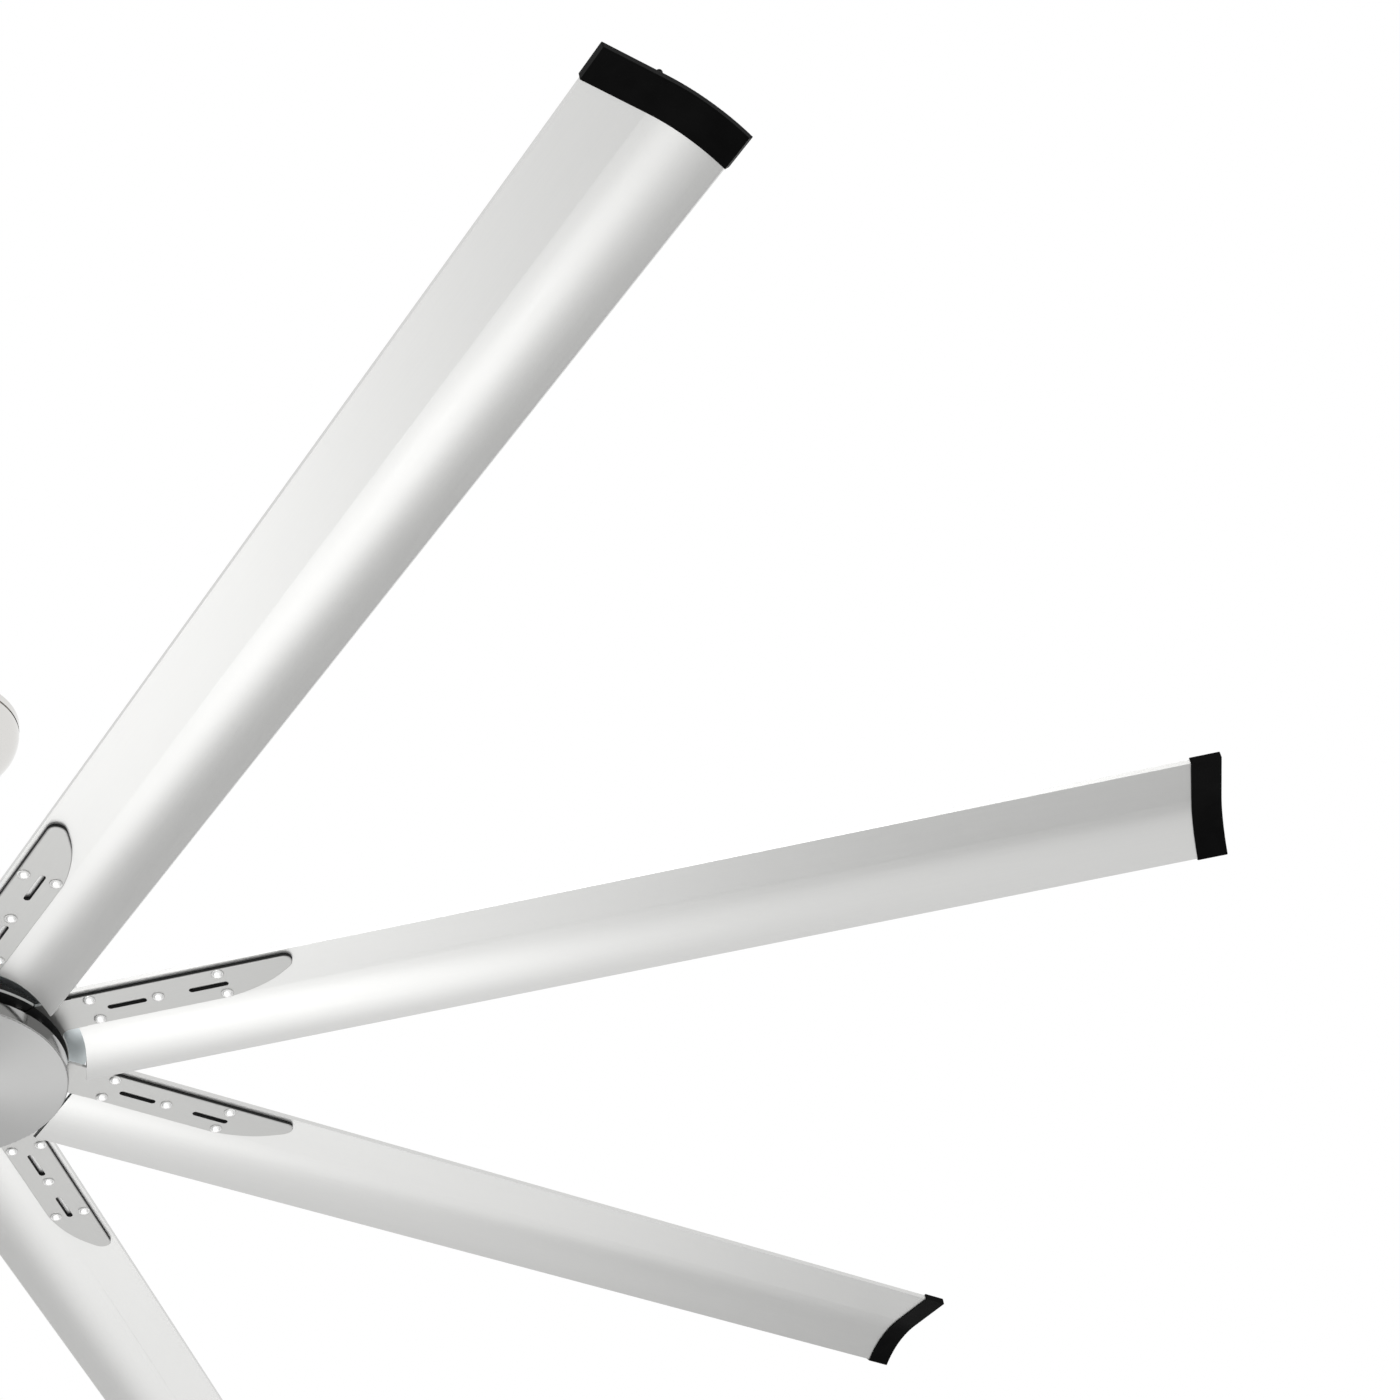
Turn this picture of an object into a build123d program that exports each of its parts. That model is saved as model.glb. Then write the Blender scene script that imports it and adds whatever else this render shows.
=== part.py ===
from build123d import *
import os
from math import asin, cos, degrees, radians, sin, sqrt, tan

# Large ceiling fan: eight curved aluminium blades on a direct-drive motor, hung on a short downrod.
# Lengths are millimetres and angles are degrees. The origin is the middle of the ceiling face and +Z is up.
# Hub pieces are drawn with the underside of the blade arms at height zero, then hung by blade_drop.

os.makedirs("parts", exist_ok=True)

# Overall
sweep_radius = 1270.0
blade_drop = 466.0
blade_count = 8
blade_step = 360.0 / blade_count
first_azimuth = -1.5 * blade_step

# Clearances shared by every fit
fit_gap = 0.05
screw_gap = 0.1
seat_gap = 0.3
cut_over = 5.0

# Blade: a hollow extrusion, flat in front and curved down behind
blade_front = 54.0
blade_back = 62.0
blade_bend = 100.0
blade_thick = 4.7
blade_wall = 1.1
blade_edge_round = 0.9
blade_root = 130.0
blade_root_arc = 148.0
blade_droop = 1.72
droop_radius = 254.0
web_shares = (-0.02, 0.5)

# Moulded cap over the tip of each blade
cap_depth = 28.0
cap_wall = 1.3
cap_end = 3.0
cap_round = 1.0
cap_peg_radius = 2.7
cap_peg_rise = 6.0
cap_peg_back = -5.0

# Blade arm: a bent plate with a foot under the flywheel
arm_thick = 3.0
gasket_thick = 1.2
arm_inset = 5.0
arm_width = 46.5
arm_start = 135.0
arm_tip = 381.0
arm_edge_round = 1.0
leaf_length = 76.0
leaf_nose = ((0.118, 1.0), (0.012, 0.88), (0.012, 0.74), (0.117, 0.555))
leaf_flank = ((0.324, 0.33), (0.63, 0.125), (1.0, 0.0))
foot_rise = 5.0
foot_inner = 104.0
foot_outer = 130.0
foot_flat = 121.0
foot_lead_angle = 21.5
foot_trail_angle = 22.8
foot_fillet = 12.0
foot_run_in = 15.0
foot_screw_angles = (-11.5, 3.5, 18.5)
slot_length = 40.0
slot_width = 6.4
slot_line = 25.2
slot_pitch = 83.5
slot_shift = 9.5

# Screws of the arms
blade_screw_line = 26.5
blade_screw_first = 175.0
blade_screw_pitch = 65.5
blade_screw_spread = 16.0
dome_radius = 6.2
dome_height = 2.8
dome_edge = 0.4
shank_radius = 2.4
pan_radius = 4.2
pan_height = 3.0
arm_screw_length = 9.0

# Flywheel and rotor case
flywheel_outer = 126.0
flywheel_inner = 60.0
flywheel_thick = 9.0
shield_thick = 4.0
case_flange = 104.0
case_outer = 92.0
case_wall = 5.5
case_roof = 4.0
case_inside = 74.0
case_hole = 18.0
case_screw_count = 8
case_screw_circle = 97.0
bearing_boss = 5.5

# Bearings
bearing_width = 14.0
bearing_outer = 23.5
bearing_land_out = 19.3
bearing_land_in = 14.2
ball_circle = 16.75
race_ball = 3.5
race_gap = 0.1
race_ball_count = 9

# Magnets and stator
stator_radius = 78.0
air_gap = 0.8
magnet_count = 16
magnet_length = 38.0
magnet_split = 2.0
stator_height = 30.0
stator_hub = 34.0
tooth_count = 12
tooth_width = 8.0
shoe_depth = 4.0
shoe_slot = 12.0
coil_inner = 38.0
coil_outer = 70.0
coil_width = 17.0
coil_rise = 5.0

# Shaft, lower support and bottom cap
shaft_radius = 10.0
shaft_bore = 5.0
thread_radius = 8.0
thread_length = 10.0
support_thick = 3.0
support_top = -9.0
support_rim = 8.0
support_rim_wall = 2.0
support_hole = 12.0
support_hole_circle = 70.0
support_hole_count = 6
nut_width = 24.0
nut_thick = 5.0
cap_radius = 130.0
dish_wall = 1.6
dish_face = -24.0
dish_round = 1.4
dish_screw_count = 3
dish_screw_angle = 25.0
small_shank = 1.6
small_head = 3.0
small_head_height = 1.5

# Motor housing
housing_base = 28.0
housing_inner = 112.0
housing_outer = 152.0
housing_skirt = 10.0
housing_shoulder = 120.0
housing_shoulder_height = 140.0
housing_round_radius = 110.5
housing_round_height = 161.0
housing_top_radius = 88.0
housing_top = 174.0
housing_wall = 2.0
housing_hole = 24.0
housing_screw_circle = 46.0
housing_screw_count = 4

# Yoke, downrod and coupling cover
yoke_radius = 21.0
yoke_bottom = 150.0
yoke_top = 225.0
yoke_web = 6.0
yoke_flange = 60.0
yoke_flange_thick = 6.0
yoke_step = 27.0
yoke_step_height = 6.0
rod_radius = 13.35
rod_wall = 2.6
pin_radius = 3.0
pin_head = 5.0
pin_head_height = 2.5
pin_stick_out = 9.0
pin_height = 212.0
clip_wire = 0.9
clip_leg = 16.0
set_screw_radius = 3.0
set_screw_height = 196.0
set_screw_length = 9.0
cover_radius = 58.0
cover_height = 62.0
cover_neck = 16.5
cover_wall = 1.5
cover_shoulder_share = 0.72

# Control board under the yoke flange
board_radius = 80.0
board_thick = 1.6
chip_size = 14.0
chip_height = 3.0
can_radius = 7.0
can_height = 14.0
can_circle = 56.0
can_count = 5

# Hanger ball and ceiling bracket
ball_drop = 38.0
ball_radius = 28.0
ball_above = 12.0
ball_below = 22.0
rod_stick_up = 16.0
cross_pin_height = 9.0
cross_pin_length = 42.0
key_width = 6.4
key_depth = 3.0
tab_gap = 0.7
bracket_length = 136.0
bracket_width = 42.0
bracket_thick = 2.5
bracket_leg_gap = 62.0
bracket_leg_width = 32.0
bracket_seat = 22.0
bracket_cradle = 30.0
bracket_tab_width = 16.0
bracket_tab_depth = 12.0
shelf_width = 40.0
shelf_reach = 50.0
wire_hole = 12.0
ceiling_slot_spacing = 89.0
ceiling_slot_length = 14.0
ceiling_slot_radius = 2.75
receiver_length = 54.0
receiver_width = 24.0
receiver_height = 18.0
receiver_round = 2.0

# Canopy and its ring
canopy_radius = 74.0
canopy_bowl = 60.0
canopy_wall = 1.6
canopy_top = -13.0
canopy_neck = 24.0
canopy_rim = 3.0
canopy_lip = 1.5
ring_height = 10.0
ring_wall = 2.7
canopy_screw_height = -6.0

# Places that follow from the sizes above
arm_lead = blade_front - arm_inset
arm_trail = arm_lead - arm_width
neck_out = arm_start + 2 * foot_fillet
blade_under = arm_thick + gasket_thick
foot_circle = (foot_inner + foot_outer) / 2
blade_end = sweep_radius - cap_end
flywheel_low = foot_rise + arm_thick
flywheel_high = flywheel_low + flywheel_thick
shield_high = flywheel_high + shield_thick
roof_low = shield_high + case_inside
lower_bearing = shield_high
upper_bearing = roof_low - bearing_width
stator_middle = (lower_bearing + bearing_width + upper_bearing) / 2
magnet_outer = case_outer - case_wall
yoke_flange_high = housing_top - housing_wall
yoke_flange_low = yoke_flange_high - yoke_flange_thick
shaft_high = (yoke_bottom + yoke_top) / 2 - yoke_web / 2
rod_low = shaft_high + yoke_web
cradle_high = -ball_drop - sqrt((ball_radius + seat_gap) ** 2 - bracket_seat ** 2)


def disc(radius, low, high):
    return Pos(0, 0, low) * Cylinder(radius, high - low, align=(Align.CENTER, Align.CENTER, Align.MIN))


def tube(outer, inner, low, high):
    return disc(outer, low, high) - disc(inner, low, high)


def block(left, right, front, back, low, high):
    middle = Pos((left + right) / 2, (front + back) / 2, (low + high) / 2)
    return middle * Box(right - left, back - front, high - low)


def around(shape, count, first=0.0):
    return [Rot(0, 0, first + 360.0 * i / count) * shape for i in range(count)]


def side_bar(radius, inner, outer):
    # A round bar along +X between two distances from the axis
    return Pos(inner, 0, 0) * Rot(0, 90, 0) * disc(radius, 0, outer - inner)


def pan_screw(length):
    # Head below zero, shank going up
    return disc(pan_radius, -pan_height, 0) + disc(shank_radius, 0, length)


def cut(shape, tools):
    for tool in tools:
        shape = shape - tool
    return shape


def save(name, shapes, lift=0.0):
    solids = [Pos(0, 0, lift) * shape for shape in shapes]
    export_step(solids[0] if len(solids) == 1 else Compound(children=solids), f"parts/{name}.step")


def droop(shape):
    # Blades and arm plates slope down outwards about a line under the second row of screws
    return Pos(droop_radius, 0, 0) * Rot(0, blade_droop, 0) * Pos(-droop_radius, 0, 0) * shape


def droop_line(radius):
    return (droop_radius - radius) * tan(radians(blade_droop))


# Blades
def blade_section(grow):
    # The blade's outline grown or shrunk all round, with x across the chord and y up
    low = blade_bend - grow
    high = blade_bend + blade_thick + grow
    tail = asin(blade_back / blade_bend) + grow / blade_bend
    front = -(blade_front + grow)
    top = blade_thick + grow
    with BuildSketch(Plane.YZ) as section:
        with BuildLine():
            Polyline((0, -grow), (front, -grow), (front, top), (0, top))
            CenterArc((0, -blade_bend), high, 90, -degrees(tail))
            Line(
                (high * sin(tail), high * cos(tail) - blade_bend),
                (low * sin(tail), low * cos(tail) - blade_bend),
            )
            CenterArc((0, -blade_bend), low, 90 - degrees(tail), degrees(tail))
        make_face()
        if grow >= 0:
            corners = [v for v in section.vertices() if abs(v.Y) > blade_front / 2]
            fillet(corners, blade_edge_round)
    return section.sketch


def screw_places():
    # Five screws a blade: pairs at both ends and one between them
    rows = [blade_screw_first + i * blade_screw_pitch for i in range(3)]
    spread = blade_screw_spread
    pairs = [(row, -blade_screw_line + side) for row in (rows[0], rows[2]) for side in (-spread, spread)]
    return pairs + [(rows[1], -blade_screw_line)]


def slot_places():
    # Two long slots between the screws, set a little outwards
    middle = blade_screw_first + blade_screw_pitch + slot_shift
    return [(middle + side * slot_pitch / 2, -slot_line) for side in (-1, 1)]


def make_blade():
    length = blade_end - blade_root
    bar = extrude(blade_section(0), amount=length)
    cells = extrude(blade_section(-blade_wall), amount=length)
    for share in web_shares:
        middle = share * blade_back
        half = blade_wall / 2
        cells = cells - block(0, length, middle - half, middle + half, -blade_back, blade_back)
    bar = Pos(blade_root, 0, blade_under) * (bar - cells)
    # The root is cut round the motor's axis
    bar = bar - disc(blade_root_arc, -blade_back, blade_back)
    hole = disc(shank_radius + screw_gap, blade_under - blade_wall, blade_under + 2 * blade_wall)
    return cut(bar, [Pos(x, y, 0) * hole for x, y in screw_places()])


def save_turned(name, shape):
    # One node for each blade position, numbered round the fan
    for number, copy in enumerate(around(shape, blade_count, first_azimuth), 1):
        save(f"{name}_{number}", [copy], -blade_drop)


save_turned("blade", droop(make_blade()))


# Blade tip caps
def make_tip_cap():
    shell = extrude(blade_section(cap_wall), amount=cap_depth)
    end = shell.faces().sort_by(Axis.X)[-1]
    shell = fillet(end.edges(), cap_round)
    pocket = extrude(blade_section(fit_gap), amount=cap_depth - cap_end)
    # The peg stands on top, in line with the end wall
    cap_top = blade_thick + cap_wall
    peg = disc(cap_peg_radius, cap_top - cap_wall / 2, cap_top + cap_peg_rise)
    peg = fillet(peg.edges().sort_by(Axis.Z)[-1], cap_round)
    inward = cap_depth - cap_round - cap_peg_radius - seat_gap
    shell = shell - pocket + Pos(inward, cap_peg_back, 0) * peg
    return Pos(sweep_radius - cap_depth, 0, blade_under) * shell


save_turned("blade_tip_cap", droop(make_tip_cap()))


# Blade arms
def leaf_edge():
    shares = leaf_nose + leaf_flank
    points = [(arm_tip - u * leaf_length, -(arm_trail + v * arm_width)) for u, v in shares]
    Spline(*points)
    return points[0], points[-1]


def plate_plan(inner):
    with BuildSketch() as plan:
        with BuildLine():
            lead_end, trail_end = leaf_edge()
            Polyline(trail_end, (inner, -arm_trail), (inner, -arm_lead), lead_end)
        make_face()
    return plan.sketch


def round_place(radius, angle):
    return (radius * cos(radians(angle)), radius * sin(radians(angle)))


def foot_plan():
    # A sector of a ring under the flywheel, with a web out to the plate
    heel = round_place(foot_inner, -foot_lead_angle)
    corner = round_place(foot_outer, -foot_lead_angle)
    sweep_angle = foot_lead_angle + foot_trail_angle
    with BuildSketch() as plan:
        with BuildLine():
            CenterArc((0, 0), foot_outer, -foot_lead_angle, sweep_angle)
            CenterArc((0, 0), foot_inner, -foot_lead_angle, sweep_angle)
            Line(heel, corner)
            Line(round_place(foot_inner, foot_trail_angle), round_place(foot_outer, foot_trail_angle))
        make_face()
        with BuildLine():
            inside = (foot_circle, -arm_trail)
            lead = (arm_start, -arm_lead)
            Polyline(corner, lead, (neck_out, -arm_lead), (neck_out, -arm_trail), inside, corner)
        make_face()
    return plan.sketch


def make_arm():
    plan = foot_plan()
    inside = (sqrt(foot_outer ** 2 - arm_trail ** 2), -arm_trail, 0)
    plan = fillet(plan.vertices().sort_by_distance(inside)[0], foot_fillet)
    rise = arm_thick / cos(radians(blade_droop))
    near = foot_inner - foot_run_in
    with BuildSketch(Plane.XZ) as side:
        with BuildLine():
            Polyline(
                (near, foot_rise),
                (foot_flat, foot_rise),
                (arm_start, droop_line(arm_start)),
                (neck_out, droop_line(neck_out)),
                (neck_out, droop_line(neck_out) + rise),
                (arm_start, droop_line(arm_start) + rise),
                (foot_flat, foot_rise + arm_thick),
                (near, foot_rise + arm_thick),
                (near, foot_rise),
            )
        make_face()
    bent = extrude(side.sketch, amount=foot_outer, both=True)
    plate = extrude(plate_plan(neck_out - cut_over), amount=arm_thick)
    plate_face = plate.faces().sort_by(Axis.Z)[0]
    rim = plate_face.edges().sort_by(Axis.X)[1:]
    arm = (bent & extrude(plan, amount=foot_outer, both=True)) + droop(fillet(rim, arm_edge_round))
    for x, y in screw_places():
        arm = arm - droop(Pos(x, y, 0) * disc(shank_radius + screw_gap, -cut_over, cut_over))
    for x, y in slot_places():
        slot = extrude(SlotOverall(slot_length, slot_width), amount=cut_over, both=True)
        arm = arm - droop(Pos(x, y, 0) * slot)
    hole = Pos(foot_circle, 0, 0) * disc(shank_radius + screw_gap, 0, flywheel_low + cut_over)
    return cut(arm, [Rot(0, 0, angle) * hole for angle in foot_screw_angles])


save_turned("blade_arm", make_arm())

# Gaskets between the arm plates and the blades
gasket = Pos(0, 0, arm_thick) * extrude(plate_plan(blade_root_arc + seat_gap), amount=gasket_thick)
for x, y in screw_places():
    gasket = gasket - Pos(x, y, 0) * disc(shank_radius + screw_gap, 0, blade_under + cut_over)
for x, y in slot_places():
    slot = extrude(SlotOverall(slot_length, slot_width), amount=blade_under + cut_over)
    gasket = gasket - Pos(x, y, 0) * slot
save("blade_gaskets", around(droop(gasket), blade_count, first_azimuth), -blade_drop)

# Domed screws that hold the blades, from below through arm and gasket into the blade's cell
def make_dome():
    rim = (dome_radius, -dome_edge)
    with BuildSketch(Plane.XZ) as half:
        with BuildLine():
            EllipticalCenterArc((0, -dome_edge), dome_radius, dome_height, -90, arc_size=90)
            Polyline(rim, (dome_radius, 0), (0, 0), (0, -dome_edge - dome_height))
        make_face()
    return revolve(half.sketch, Axis.Z)


blade_screw = make_dome() + disc(shank_radius, 0, blade_under + blade_thick - blade_wall - seat_gap)
blade_screws = [droop(Pos(x, y, 0) * blade_screw) for x, y in screw_places()]
blade_screws = [s for one in blade_screws for s in around(one, blade_count, first_azimuth)]
save("blade_screws", blade_screws, -blade_drop)

# Screws that hold the arm feet to the flywheel
arm_screw = Pos(foot_circle, 0, foot_rise) * pan_screw(arm_screw_length)
arm_screws = [s for a in foot_screw_angles for s in around(arm_screw, blade_count, first_azimuth + a)]
save("arm_screws", arm_screws, -blade_drop)

# Flywheel: the ring that carries the arms under the motor
flywheel = tube(flywheel_outer, flywheel_inner, flywheel_low, flywheel_high)
foot_hole = Pos(foot_circle, 0, 0) * disc(shank_radius + fit_gap, 0, foot_rise + arm_screw_length + seat_gap)
for angle in foot_screw_angles:
    flywheel = cut(flywheel, around(foot_hole, blade_count, first_azimuth + angle))
case_hole_tool = Pos(case_screw_circle, 0, 0) * disc(shank_radius + screw_gap, 0, roof_low)
case_holes = around(case_hole_tool, case_screw_count)
save("flywheel", [cut(flywheel, case_holes)], -blade_drop)

# Rotor case: a flat shield below and a deep cup above, clamped on the flywheel by one set of screws
shield = tube(case_flange, case_hole, flywheel_high, shield_high)
boss_outer = bearing_outer + bearing_boss
boss_inner = bearing_outer + fit_gap
shield = shield + tube(boss_outer, boss_inner, lower_bearing, lower_bearing + bearing_width)
save("rotor_lower_shield", [cut(shield, case_holes)], -blade_drop)
cup = tube(case_outer, magnet_outer + fit_gap, shield_high, roof_low)
cup = cup + tube(case_outer, case_hole, roof_low, roof_low + case_roof)
cup = cup + tube(case_flange, case_outer - fit_gap, shield_high, shield_high + shield_thick)
cup = cup + tube(boss_outer, boss_inner, upper_bearing, roof_low)
save("rotor_upper_case", [cut(cup, case_holes)], -blade_drop)
case_screw = pan_screw(flywheel_thick + 2 * shield_thick - seat_gap)
case_screw = Pos(case_screw_circle, 0, flywheel_low) * case_screw
save("rotor_case_screws", around(case_screw, case_screw_count), -blade_drop)

# Magnets glued inside the case wall
magnet_low = stator_middle - magnet_length / 2
magnet = tube(magnet_outer, stator_radius + air_gap, magnet_low, magnet_low + magnet_length)
half_pitch = 180.0 / magnet_count
wedge_reach = case_outer / cos(radians(half_pitch))
edge = (wedge_reach * cos(radians(half_pitch)), wedge_reach * sin(radians(half_pitch)) - magnet_split / 2)
with BuildSketch() as wedge:
    with BuildLine():
        Polyline((magnet_split, 0), edge, (edge[0], -edge[1]), (magnet_split, 0))
    make_face()
magnet = magnet & Pos(0, 0, stator_middle) * extrude(wedge.sketch, amount=magnet_length, both=True)
save("rotor_magnets", around(magnet, magnet_count), -blade_drop)

# Two ball bearings: inner rings on the shaft, outer rings in the case, one set of balls in each
race = Torus(ball_circle, race_ball + race_gap)
for name, low in (("lower_bearing", lower_bearing), ("upper_bearing", upper_bearing)):
    groove = Pos(0, 0, low + bearing_width / 2) * race
    inner_ring = tube(bearing_land_in, shaft_radius + fit_gap, low, low + bearing_width) - groove
    outer_ring = tube(bearing_outer, bearing_land_out, low, low + bearing_width) - groove
    save(f"{name}_inner_ring", [inner_ring], -blade_drop)
    save(f"{name}_outer_ring", [outer_ring], -blade_drop)
balls = []
for low in (lower_bearing, upper_bearing):
    balls += around(Pos(ball_circle, 0, low + bearing_width / 2) * Sphere(race_ball), race_ball_count)
save("bearing_balls", balls, -blade_drop)

# Stator core: a hub between the bearings and twelve teeth with shoes
stator_low = stator_middle - stator_height / 2
stator_high = stator_middle + stator_height / 2
core = disc(stator_hub, stator_low, stator_high)
core = core + disc(bearing_land_in, lower_bearing + bearing_width, upper_bearing)
shoe_ring = tube(stator_radius, stator_radius - shoe_depth, stator_low, stator_high)
half_tooth = tooth_width / 2
tooth_far = stator_radius - shoe_depth / 2
tooth = block(stator_hub - shoe_depth, tooth_far, -half_tooth, half_tooth, stator_low, stator_high)
for copy in around(tooth, tooth_count):
    core = core + copy
half_slot = shoe_slot / 2
slot_near = stator_radius - 2 * shoe_depth
slot_cut = block(slot_near, stator_radius + cut_over, -half_slot, half_slot, stator_low, stator_high)
core = core + cut(shoe_ring, around(slot_cut, tooth_count, 180.0 / tooth_count))
save("stator_core", [core - disc(shaft_radius + fit_gap, 0, yoke_bottom)], -blade_drop)

# Windings: one coil on each tooth
half_coil = coil_width / 2
coil_low = stator_low - coil_rise
coil = block(coil_inner, coil_outer, -half_coil, half_coil, coil_low, stator_high + coil_rise)
coil = fillet(coil.edges().filter_by(Axis.X), coil_width / 4)
tooth_room = tooth_width / 2 + seat_gap
coil = coil - block(0, stator_radius, -tooth_room, tooth_room, stator_low - seat_gap, stator_high + seat_gap)
save("stator_windings", around(coil, tooth_count), -blade_drop)

# Hollow motor shaft, threaded below for the support nut
shaft_low = support_top - thread_length
shaft = disc(shaft_radius, support_top, shaft_high) + disc(thread_radius, shaft_low, support_top)
save("motor_shaft", [shaft - disc(shaft_bore, shaft_low, shaft_high)], -blade_drop)

# Pressed support pan on the shaft's lower end, its nut, and the bottom cap screwed round its rim
pan_radius_out = cap_radius - dish_wall - 1.5 * seat_gap
support_low = support_top - support_thick
screw_height = support_low - support_rim / 2
support = disc(pan_radius_out, support_low, support_top)
rim_inner = pan_radius_out - support_rim_wall
support = support + tube(pan_radius_out, rim_inner, support_low - support_rim, support_low)
support = support - disc(thread_radius + fit_gap, support_low, support_top)
support_window = Pos(support_hole_circle, 0, 0) * disc(support_hole, support_low, support_top)
support = cut(support, around(support_window, support_hole_count))
dish_screw_hole = side_bar(small_shank + screw_gap, pan_radius_out - support_hole, cap_radius + cut_over)
dish_screw_hole = Pos(0, 0, screw_height) * dish_screw_hole
dish_screw_holes = around(dish_screw_hole, dish_screw_count, dish_screw_angle)
save("cap_support_plate", [cut(support, dish_screw_holes)], -blade_drop)
nut = extrude(RegularPolygon(nut_width / 2, 6, major_radius=False), amount=nut_thick)
nut = Pos(0, 0, support_low - nut_thick) * nut
save("shaft_nut", [nut - disc(thread_radius + fit_gap, support_low - nut_thick, support_low)], -blade_drop)
dish = disc(cap_radius, dish_face, support_top)
dish = fillet(dish.edges().group_by(Axis.Z)[0], dish_round)
dish = dish - disc(cap_radius - dish_wall, dish_face + dish_wall, support_top)
save("bottom_cap", [cut(dish, dish_screw_holes)], -blade_drop)
dish_screw = side_bar(small_shank, pan_radius_out - support_rim_wall * 2, cap_radius)
dish_screw = dish_screw + side_bar(small_head, cap_radius, cap_radius + small_head_height)
dish_screw = Pos(0, 0, screw_height) * dish_screw
save("bottom_cap_screws", around(dish_screw, dish_screw_count, dish_screw_angle), -blade_drop)


# Motor housing: a spun bell with an inward flange over the blade roots
def bell(inset):
    low = housing_base + inset
    with BuildLine(Plane.XZ) as line:
        Polyline(
            (housing_inner, low),
            (housing_outer - inset, low),
            (housing_outer - inset, housing_base + housing_skirt),
            (housing_shoulder - inset, housing_shoulder_height),
        )
        ThreePointArc(
            (housing_shoulder - inset, housing_shoulder_height),
            (housing_round_radius - inset, housing_round_height - inset),
            (housing_top_radius, housing_top - inset),
        )
        top = housing_top - inset
        Polyline((housing_top_radius, top), (0, top), (0, low), (housing_inner, low))
    return revolve(make_face(line.line), Axis.Z)


housing = bell(0) - bell(housing_wall) - disc(housing_inner, 0, housing_base + cut_over)
housing = housing - disc(housing_hole, housing_base, housing_top + cut_over)
housing_hole_tool = disc(shank_radius + screw_gap, yoke_flange_low, housing_top + cut_over)
housing_hole_tool = Pos(housing_screw_circle, 0, 0) * housing_hole_tool
housing_holes = around(housing_hole_tool, housing_screw_count, 180.0 / housing_screw_count)
save("motor_housing", [cut(housing, housing_holes)], -blade_drop)

# Yoke: one casting that grips shaft, housing and downrod
yoke = disc(yoke_radius, yoke_bottom, yoke_top) + disc(yoke_flange, yoke_flange_low, yoke_flange_high)
yoke = yoke + disc(yoke_step, yoke_flange_low - yoke_step_height, yoke_flange_low)
yoke = yoke - disc(shaft_radius + fit_gap, yoke_bottom, shaft_high)
yoke = yoke - disc(rod_radius + fit_gap, rod_low, yoke_top)
yoke = yoke - disc(shaft_bore, shaft_high, rod_low)
pin_bar = Pos(0, 0, pin_height) * Rot(0, 90, 0) * Cylinder(pin_radius + fit_gap, 4 * yoke_radius)
set_screw_tool = side_bar(set_screw_radius + fit_gap, rod_radius, 2 * yoke_radius)
set_screw_hole = Pos(0, 0, set_screw_height) * Rot(0, 0, 90) * set_screw_tool
yoke = cut(yoke, housing_holes + [pin_bar, set_screw_hole, Rot(0, 0, 180) * set_screw_hole])
save("motor_yoke", [yoke], -blade_drop)
housing_screw = Rot(180, 0, 0) * pan_screw(housing_wall + yoke_flange_thick - seat_gap)
housing_screw = Pos(housing_screw_circle, 0, housing_top) * housing_screw
save("housing_screws", around(housing_screw, housing_screw_count, 180.0 / housing_screw_count), -blade_drop)

# Control board, against the step under the yoke flange
board_high = yoke_flange_low - yoke_step_height
board_low = board_high - board_thick
board = tube(board_radius, yoke_radius + screw_gap, board_low, board_high)
can = Pos(can_circle, 0, 0) * disc(can_radius, board_low - can_height, board_low)
chip = Pos(can_circle, 0, board_low - chip_height / 2) * Box(chip_size, chip_size, chip_height)
for piece in around(can, can_count) + around(chip, can_count, 180.0 / can_count):
    board = board + piece
save("control_board", [board], -blade_drop)

# Downrod with cross holes for the clevis pin below and the hanger ball's pin above
rod_high = blade_drop - ball_drop + rod_stick_up
rod = tube(rod_radius, rod_radius - rod_wall, rod_low, rod_high)
cross_hole = Rot(90, 0, 0) * Cylinder(pin_radius + fit_gap, 4 * yoke_radius)
cross_hole = Pos(0, 0, blade_drop - ball_drop + cross_pin_height) * cross_hole
save("downrod", [rod - pin_bar - cross_hole], -blade_drop)

# Clevis pin with a head at one end, and the spring clip through its other end
pin_end = yoke_radius + pin_stick_out
clip_place = (yoke_radius + pin_end) / 2
pin = side_bar(pin_radius, -yoke_radius, pin_end)
pin = pin + side_bar(pin_head, -yoke_radius - pin_head_height, -yoke_radius)
pin = pin - Pos(clip_place, 0, 0) * disc(clip_wire + fit_gap, -2 * pin_radius, 2 * pin_radius)
save("clevis_pin", [Pos(0, 0, pin_height) * pin], -blade_drop)
clip_bend = pin_end - clip_place + clip_wire + seat_gap
with BuildLine(Plane.XZ) as clip_path:
    Line((0, clip_leg / 2), (0, -clip_leg / 2))
    CenterArc((clip_bend / 2, -clip_leg / 2), clip_bend / 2, 180, 180)
    Line((clip_bend, -clip_leg / 2), (clip_bend, clip_leg / 4))
clip_face = Plane((0, 0, clip_leg / 2), z_dir=(0, 0, -1)) * Circle(clip_wire)
clip = sweep(clip_face, path=clip_path.line)
save("clevis_clip", [Pos(clip_place, 0, pin_height) * clip], -blade_drop)

# Set screws: two in the yoke and one in the hanger ball, all pressing on the downrod
set_screw = side_bar(set_screw_radius, rod_radius + fit_gap, rod_radius + fit_gap + set_screw_length)
set_screws = [Pos(0, 0, set_screw_height) * Rot(0, 0, a) * set_screw for a in (90, 270)]
set_screws.append(Pos(0, 0, blade_drop - ball_drop) * set_screw)
save("set_screws", set_screws, -blade_drop)


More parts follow.
